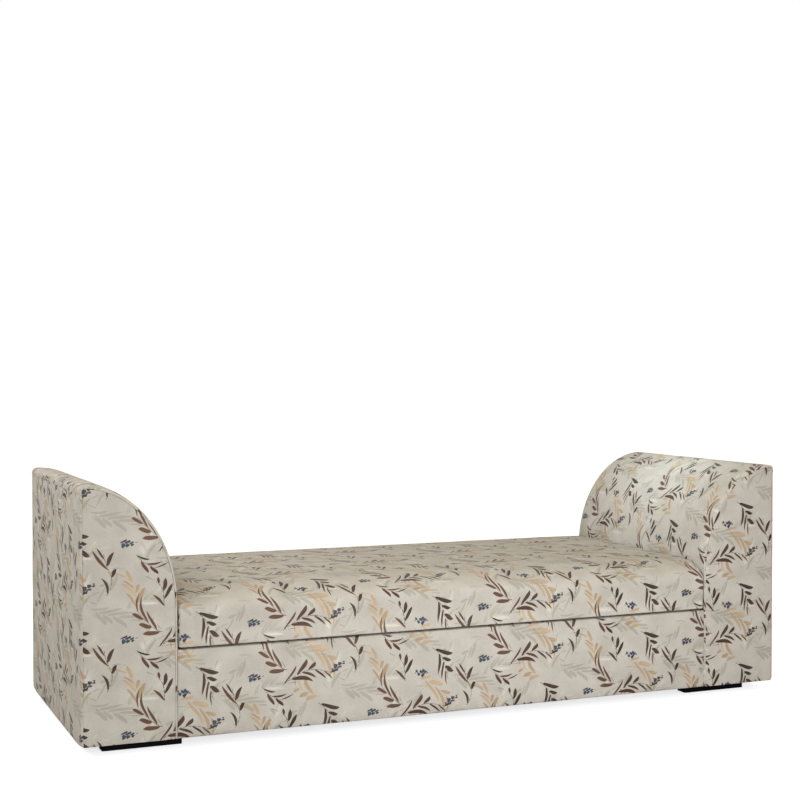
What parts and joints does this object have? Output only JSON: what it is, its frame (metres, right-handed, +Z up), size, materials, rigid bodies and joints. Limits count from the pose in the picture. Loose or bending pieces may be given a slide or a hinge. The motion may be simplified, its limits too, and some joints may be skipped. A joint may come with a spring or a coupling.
{
  "type": "chaise longue",
  "caption": "Backless upholstered daybed with two quarter-round arms, a lift-off seat cushion and black plinth feet",
  "frame": {"origin": "centre of the footprint, on the floor", "axes": "+X along the length to the right, the front faces -Y, +Z up"},
  "size_m": [2.2, 0.79, 0.72],
  "materials": {
    "furnishing_fabric": "satin",
    "lining_cloth": "matte",
    "dust_cloth": "matte",
    "webbing": "matte",
    "felt_pad": "matte",
    "arm_foam": "matte",
    "seat_foam": "matte",
    "wadding": "matte",
    "zip_tape": "matte",
    "frame_timber": "matte",
    "plywood": "matte",
    "hardboard": "matte",
    "black_lacquer": "satin",
    "zinc_steel": "satin"
  },
  "bodies": {
    "frame": {"left_arm_front_profile": "plywood", "left_arm_middle_profile": "plywood", "left_arm_back_profile": "plywood", "left_arm_side_board": "hardboard", "left_arm_bent_board": "plywood", "left_arm_battens": "frame_timber", "left_arm_fixing_rail": "frame_timber", "left_arm_side_foam": "arm_foam", "left_arm_round_foam": "arm_foam", "left_arm_front_foam": "arm_foam", "left_arm_back_foam": "arm_foam", "left_arm_side_cover": "furnishing_fabric", "left_arm_round_cover": "furnishing_fabric", "left_arm_front_cover": "furnishing_fabric", "left_arm_back_cover": "furnishing_fabric", "right_arm_front_profile": "plywood", "right_arm_middle_profile": "plywood", "right_arm_back_profile": "plywood", "right_arm_side_board": "hardboard", "right_arm_bent_board": "plywood", "right_arm_battens": "frame_timber", "right_arm_fixing_rail": "frame_timber", "right_arm_side_foam": "arm_foam", "right_arm_round_foam": "arm_foam", "right_arm_front_foam": "arm_foam", "right_arm_back_foam": "arm_foam", "right_arm_side_cover": "furnishing_fabric", "right_arm_round_cover": "furnishing_fabric", "right_arm_front_cover": "furnishing_fabric", "right_arm_back_cover": "furnishing_fabric", "foot_rails": "frame_timber", "base_front_rail": "frame_timber", "base_back_rail": "frame_timber", "base_left_rail": "frame_timber", "base_right_rail": "frame_timber", "base_cross_rails": "frame_timber", "corner_blocks": "frame_timber", "webbing_across": "webbing", "webbing_along": "webbing", "deck_pad": "felt_pad", "deck_lining": "lining_cloth", "base_front_foam": "arm_foam", "base_back_foam": "arm_foam", "base_front_cover": "furnishing_fabric", "base_back_cover": "furnishing_fabric", "dust_cover": "dust_cloth", "arm_bolts": "zinc_steel", "arm_bolt_washers": "zinc_steel", "arm_tee_nuts": "zinc_steel", "foot_screws": "zinc_steel", "left_front_foot": "black_lacquer", "right_front_foot": "black_lacquer", "left_rear_foot": "black_lacquer", "right_rear_foot": "black_lacquer"},
    "seat_cushion": {"cushion_foam": "seat_foam", "cushion_wadding": "wadding", "cushion_cover": "furnishing_fabric", "cushion_zip": "zip_tape"}
  },
  "joints": [
    {"name": "cushion_lift", "type": "slide", "parent": "frame", "child": "seat_cushion", "axis": [0, 0, 1], "range_m": [0, 0.46]}
  ]
}
